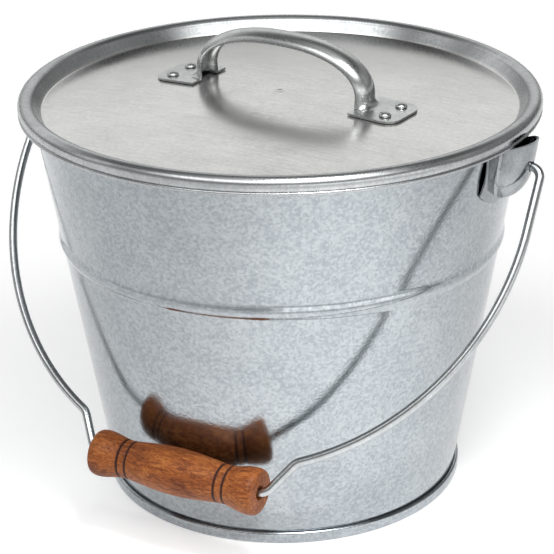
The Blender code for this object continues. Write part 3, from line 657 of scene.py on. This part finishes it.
def rivetTree():  # four rivets on the handle's feet, each square to the crowned panel
    tree, given = nodeGroup("rivetPattern", Rivet="Object", Reach="Float", Spread="Float", PanelTop="Float",
                            CrownCurve="Float", Turn="Float", Shift="Vector", Material="Material")
    width = mathNode(tree, "MULTIPLY", given["Reach"], 2.0)
    depth = mathNode(tree, "MULTIPLY", given["Spread"], 2.0)
    corners = {"Size X": width, "Size Y": depth, "Vertices X": 2, "Vertices Y": 2}
    grid = addNode(tree, "GeometryNodeMeshGrid", **corners)
    spin = addNode(tree, "ShaderNodeCombineXYZ", Z=given["Turn"])
    moved = addNode(tree, "GeometryNodeTransform", Geometry=grid.outputs["Mesh"], Rotation=spin.outputs[0],
                    Translation=given["Shift"])
    spot = addNode(tree, "GeometryNodeInputPosition").outputs[0]
    parts = addNode(tree, "ShaderNodeSeparateXYZ", Vector=spot)
    squared = addNode(tree, "ShaderNodeVectorMath", {"operation": "DOT_PRODUCT"})
    tree.links.new(spot, squared.inputs[0])
    tree.links.new(spot, squared.inputs[1])
    sag = mathNode(tree, "MULTIPLY", squared.outputs["Value"], given["CrownCurve"])
    lift = addNode(tree, "ShaderNodeCombineXYZ", Z=mathNode(tree, "SUBTRACT", given["PanelTop"], sag))
    slopeFactor = mathNode(tree, "MULTIPLY", given["CrownCurve"], 2.0)
    slopes = {axis: mathNode(tree, "MULTIPLY", parts.outputs[axis], slopeFactor) for axis in ("X", "Y")}
    normal = addNode(tree, "ShaderNodeCombineXYZ", Z=1.0, **slopes)
    facing = addNode(tree, "FunctionNodeAlignRotationToVector", {"axis": "Z"}, Vector=normal.outputs[0])
    raised = addNode(tree, "GeometryNodeSetPosition", Geometry=moved.outputs[0], Offset=lift.outputs[0])
    shape = addNode(tree, "GeometryNodeObjectInfo", Object=given["Rivet"])
    placed = addNode(tree, "GeometryNodeInstanceOnPoints", Points=raised.outputs[0],
                     Instance=shape.outputs["Geometry"], Rotation=facing.outputs[0])
    return endGroup(tree, placed.outputs[0], given["Material"])


def setInputs(modifier, **values):
    for item in modifier.node_group.interface.items_tree:
        if item.in_out == "INPUT" and item.name in values:
            modifier[item.identifier] = values[item.name]


def makeRivets():
    seat = handle["gap"] * 2 + handle["gauge"]
    under = -lid["gauge"] - handle["gap"]
    section = []
    for step in range(rivet["domeSteps"]):
        angle = math.pi / 2 * step / rivet["domeSteps"]
        section.append((rivet["head"] * math.sin(angle), seat + rivet["dome"] * math.cos(angle)))
    end = under - rivet["tailHeight"]
    section += [(rivet["head"], seat + rivet["edge"]), (rivet["head"] - rivet["draft"], seat),
                (rivet["shank"], seat), (rivet["shank"], under), (rivet["tail"], under),
                (rivet["tail"] * rivet["tailFace"], end), (0.0, end)]
    shape = turnedPiece("rivetShape", section, rivet["sides"], closed=False)
    carrier = bpy.data.objects.new("rivetPoints", bpy.data.meshes.new("rivetPoints"))
    bpy.context.scene.collection.objects.link(carrier)
    pattern = carrier.modifiers.new("rivets", "NODES")
    pattern.node_group = rivetTree()
    setInputs(pattern, Rivet=shape, Reach=rivet["reach"] * mm, Spread=rivet["spread"] * mm,
              PanelTop=panelHeight(0) * mm, CrownCurve=lid["crown"] / lid["panelRadius"] ** 2 / mm,
              Turn=math.radians(handle["turn"]), Shift=Vector((*handle["shift"], 0.0)) * mm,
              Material=handleSteel)
    made = plainMesh(carrier, "lidRivets")
    bpy.data.objects.remove(shape, do_unlink=True)
    return made


addPiece(makeRivets(), handleSteel, "lid", "bright_steel", "lid_rivet_left_front", "lid_rivet_left_rear",
         "lid_rivet_right_front", "lid_rivet_right_rear")

bail = dict(wireRadius=2.5, halfSpan=162.0472, reach=207.7, shoulder=72.0, kinkDrop=22.5, kinkRun=4.0,
            kinkEnd=55.5, kinkBend=9.0, legBend=7.0, legSplay=1.0, hookBend=4.0, hookLength=8.0,
            hookSpace=2.0, restAngle=37.1836, arcSteps=48, bendStep=6, sides=24, sharpAngle=50)
bail["leg"] = (bail["reach"] - bail["kinkDrop"]
               - math.sqrt(bail["halfSpan"] ** 2 - bail["shoulder"] ** 2))
hingeHeight = wall["rimHeight"] - ear["hingeDrop"]


def bailPoint(across, down):  # from the bail's plane to its place at rest
    angle = math.radians(bail["restAngle"])
    return Vector((across, -down * math.sin(angle), hingeHeight - down * math.cos(angle))) * mm


def bailRoute():  # half of the wire in its own plane, then mirrored
    hook = wallRadius(hingeHeight) + bail["hookSpace"] + bail["wireRadius"]
    corners = [(hook, bail["hookLength"], 0), (hook, 0.0, bail["hookBend"]),
               (bail["halfSpan"] - bail["legSplay"], 0.0, bail["legBend"])]
    shoulder = math.degrees(math.acos(bail["shoulder"] / bail["halfSpan"]))
    arc = arcPath((0.0, bail["leg"]), bail["halfSpan"], 0, shoulder, bail["arcSteps"])
    corners += [(*spot, 0) for spot in arc]
    lean = math.radians(shoulder)
    kink = arc[-1] + Vector((-math.sin(lean), math.cos(lean))) * bail["kinkRun"]
    corners += [(*kink, bail["kinkBend"]), (bail["kinkEnd"], bail["reach"], bail["kinkBend"]),
                (0.0, bail["reach"], 0)]
    half = bentPath(corners, bail["bendStep"])
    flat = half + [Vector((-spot.x, spot.y)) for spot in half[-2::-1]]
    return [bailPoint(*spot) for spot in flat]


def wireTree():  # a round wire drawn along a route
    tree, given = nodeGroup("drawnWire", Route="Geometry", Radius="Float", Sides="Int", Material="Material")
    ring = addNode(tree, "GeometryNodeCurvePrimitiveCircle", Resolution=given["Sides"],
                   Radius=given["Radius"])
    sweep = {"Curve": given["Route"], "Profile Curve": ring.outputs["Curve"], "Fill Caps": True}
    swept = addNode(tree, "GeometryNodeCurveToMesh", **sweep)
    smooth = addNode(tree, "GeometryNodeSetShadeSmooth", Geometry=swept.outputs[0])
    return endGroup(tree, smooth.outputs[0], given["Material"])


def makeBail():
    route = bpy.data.curves.new("bailRoute", "CURVE")
    route.dimensions = "3D"
    spline = route.splines.new("POLY")
    places = bailRoute()
    spline.points.add(len(places) - 1)
    for point, spot in zip(spline.points, places):
        point.co = (*spot, 1.0)
    carrier = bpy.data.objects.new("bailRoute", route)
    bpy.context.scene.collection.objects.link(carrier)
    sweep = carrier.modifiers.new("wire", "NODES")
    sweep.node_group = wireTree()
    setInputs(sweep, Radius=bail["wireRadius"] * mm, Sides=bail["sides"], Material=wireSteel)
    made = plainMesh(carrier, "bailWire")
    shape = bmesh.new()
    shape.from_mesh(made.data)
    bpy.data.objects.remove(made, do_unlink=True)
    return finishMesh("bailWire", shape, bail["sharpAngle"])


addPiece(makeBail(), wireSteel, "bail", "wire", "bail_wire")

grip = dict(half=52.5, barrel=13.5, neck=10.9, flare=13.4, face=11.6, bore=3.4, mouth=0.9, crown=4.5,
            swellPower=1.3, crownPower=2.4, grooves=(18.5, 23.8), grooveHalf=0.7, grooveDepth=0.8,
            rings=140, sides=72)


def gripRadius(place):
    neck = grip["half"] - sum(grip["grooves"]) / 2
    crown = grip["half"] - grip["crown"]
    if place <= neck:
        swell = math.cos(math.pi / 2 * place / neck) ** grip["swellPower"]
        return grip["neck"] + (grip["barrel"] - grip["neck"]) * swell
    if place <= crown:
        return grip["neck"] + (grip["flare"] - grip["neck"]) * ease((place - neck) / (crown - neck))
    share = (place - crown) / grip["crown"]
    rounding = math.sqrt(max(1.0 - share ** grip["crownPower"], 0.0))
    return grip["face"] + (grip["flare"] - grip["face"]) * rounding


def makeGrip():
    half = []
    for index in range(grip["rings"] + 1):
        place = grip["half"] * index / grip["rings"]
        cutDepth = 0.0
        for groove in grip["grooves"]:
            away = abs(place - (grip["half"] - groove)) / grip["grooveHalf"]
            cutDepth = max(cutDepth, grip["grooveDepth"] * max(1.0 - away * away, 0.0))
        half.append((gripRadius(place) - cutDepth, place))
    section = half[:0:-1] + [(radius, -place) for radius, place in half]
    bore, mouth, inside = grip["bore"], grip["bore"] + grip["mouth"], grip["half"] - grip["mouth"] * 2
    section += [(mouth, -grip["half"]), (bore, -inside), (bore, inside), (mouth, grip["half"])]
    centre = bailPoint(0.0, bail["reach"])
    place = Matrix.Translation(centre) @ Matrix.Rotation(math.pi / 2, 4, "Y")
    return turnedPiece("turnedGrip", section, grip["sides"], place=place)


addPiece(makeGrip(), gripWood, "grip", "wood", "grip")
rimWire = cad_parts["rim_wire"].data  # the CAD's own ring, inside the curl
rimWire.materials.clear()
rimWire.materials.append(wireSteel)
print("pieces made")

view = dict(distance=1.1727, azimuth=28.486, elevation=18.334, aim=0.2355, pitch=-5.2046, yaw=-0.148,
            roll=-0.734, lens=132.70, sensor=36.0)


def swing(first, second, degrees):  # two axes turned in their own plane
    angle = math.radians(degrees)
    return (first * math.cos(angle) + second * math.sin(angle),
            second * math.cos(angle) - first * math.sin(angle))


def heading(azimuth):
    around = math.radians(azimuth)
    return Vector((math.sin(around), -math.cos(around), 0.0))


def makeCamera():
    up = math.radians(view["elevation"])
    spot = heading(view["azimuth"]) * math.cos(up) + Vector((0.0, 0.0, math.sin(up)))
    ahead = -spot
    right = ahead.cross(Vector((0, 0, 1))).normalized()
    above = right.cross(ahead)
    ahead, above = swing(ahead, above, view["pitch"])
    ahead, right = swing(ahead, right, view["yaw"])
    right, above = swing(right, above, view["roll"])
    data = bpy.data.cameras.new("photoView")
    data.lens = view["lens"]
    data.sensor_width = view["sensor"]
    data.sensor_fit = "HORIZONTAL"
    camera = bpy.data.objects.new("photoView", data)
    place = Matrix.Translation(spot * view["distance"] + Vector((0.0, 0.0, view["aim"])))
    camera.matrix_world = place @ Matrix((right, above, -ahead)).transposed().to_4x4()
    bpy.context.scene.collection.objects.link(camera)
    bpy.context.scene.camera = camera


studio = dict(base=0.07, floor=0.90, floorGlow=0.35, overhead=(60, 84, 0.55), floorSize=30.0,
              floorRough=0.8)
studio["panels"] = (  # azimuth, half width, low and high edge, soft edge, level
    (226.0, 50, 8, 42, 10, 1.0),
    (208.5, 112, 6, 44, 12, 0.32),
    (24.0, 62, 40, 64, 6, 3.4),
    (24.0, 95, -6, 38, 6, 0.24),
    (60.0, 36, -6, 13, 6, 2.1),
    (-12.0, 42, -6, 13, 6, 0.75),
    (-64.0, 9, 12, 46, 5, 1.0),
    (120.0, 8, 10, 44, 5, 0.5),
)
studio["lamp"] = dict(azimuth=52.0, reach=0.42, height=0.95, aim=0.26, size=0.14, cone=40.0, power=31.0)


def vectorNode(tree, operation, first, second=(0.0, 0.0, 0.0)):
    made = addNode(tree, "ShaderNodeVectorMath", {"operation": operation})
    tree.links.new(first, made.inputs[0])
    made.inputs[1].default_value = second
    return made.outputs


def sine(degrees):
    return math.sin(math.radians(degrees))


def cosine(degrees):
    return math.cos(math.radians(degrees))


def panelGlow(tree, direction, height, azimuth, halfWidth, low, high, soft, level):  # on the studio's wall
    flat = vectorNode(tree, "MULTIPLY", direction, (1.0, 1.0, 0.0))["Vector"]
    flat = vectorNode(tree, "NORMALIZE", flat)["Vector"]
    facing = vectorNode(tree, "DOT_PRODUCT", flat, heading(azimuth))["Value"]
    across = rangeNode(tree, facing, cosine(halfWidth + soft), cosine(halfWidth - soft), 0.0, 1.0)
    under = rangeNode(tree, height, sine(low - soft), sine(low + soft), 0.0, 1.0)
    over = rangeNode(tree, height, sine(high - soft), sine(high + soft), 1.0, 0.0)
    upright = mathNode(tree, "MULTIPLY", under, over)
    return mathNode(tree, "MULTIPLY", mathNode(tree, "MULTIPLY", across, level), upright)


def makeStudio():
    world = bpy.data.worlds.new("studio")
    world.use_nodes = True
    tree = world.node_tree
    shader = tree.nodes["Background"]
    shader.inputs["Color"].default_value = (1.0, 1.0, 1.0, 1.0)
    direction = addNode(tree, "ShaderNodeTexCoord").outputs["Generated"]
    height = addNode(tree, "ShaderNodeSeparateXYZ", Vector=direction).outputs["Z"]
    edge, full, strength = studio["overhead"]
    glow = rangeNode(tree, height, sine(edge), sine(full), studio["base"], strength)
    for panel in studio["panels"]:
        glow = mathNode(tree, "MAXIMUM", glow, panelGlow(tree, direction, height, *panel))
    tree.links.new(glow, shader.inputs["Strength"])
    bpy.context.scene.world = world
    bpy.ops.mesh.primitive_plane_add(size=studio["floorSize"])
    floor = bpy.context.object
    floor.name = "floor"
    material, tree, shader = newMaterial("paleFloor")
    shader.inputs["Base Color"].default_value = (*[studio["floor"]] * 3, 1.0)
    shader.inputs["Roughness"].default_value = studio["floorRough"]
    shader.inputs["Specular IOR Level"].default_value = 0.0
    shader.inputs["Emission Color"].default_value = (1.0, 1.0, 1.0, 1.0)
    rays = addNode(tree, "ShaderNodeLightPath").outputs
    seen = mathNode(tree, "MAXIMUM", rays["Is Camera Ray"], rays["Is Glossy Ray"])
    seen = mathNode(tree, "MAXIMUM", seen, rays["Is Transmission Ray"])
    glow = mathNode(tree, "MULTIPLY", seen, studio["floorGlow"])
    tree.links.new(glow, shader.inputs["Emission Strength"])
    floor.data.materials.append(material)


def makeLamp():  # a soft pool of light on the floor, in front and to the right
    lamp = studio["lamp"]
    data = bpy.data.lights.new("floorLamp", "SPOT")
    data.energy = lamp["power"]
    data.shadow_soft_size = lamp["size"]
    data.spot_size = math.radians(lamp["cone"])
    data.spot_blend = 1.0
    piece = bpy.data.objects.new("floorLamp", data)
    piece.location = heading(lamp["azimuth"]) * lamp["reach"] + Vector((0.0, 0.0, lamp["height"]))
    aim = heading(lamp["azimuth"]) * lamp["aim"] - piece.location
    piece.rotation_euler = aim.to_track_quat("-Z", "Y").to_euler()
    bpy.context.scene.collection.objects.link(piece)


makeCamera()
makeStudio()
makeLamp()
bpy.context.scene.view_settings.view_transform = "Standard"
print("studio made")
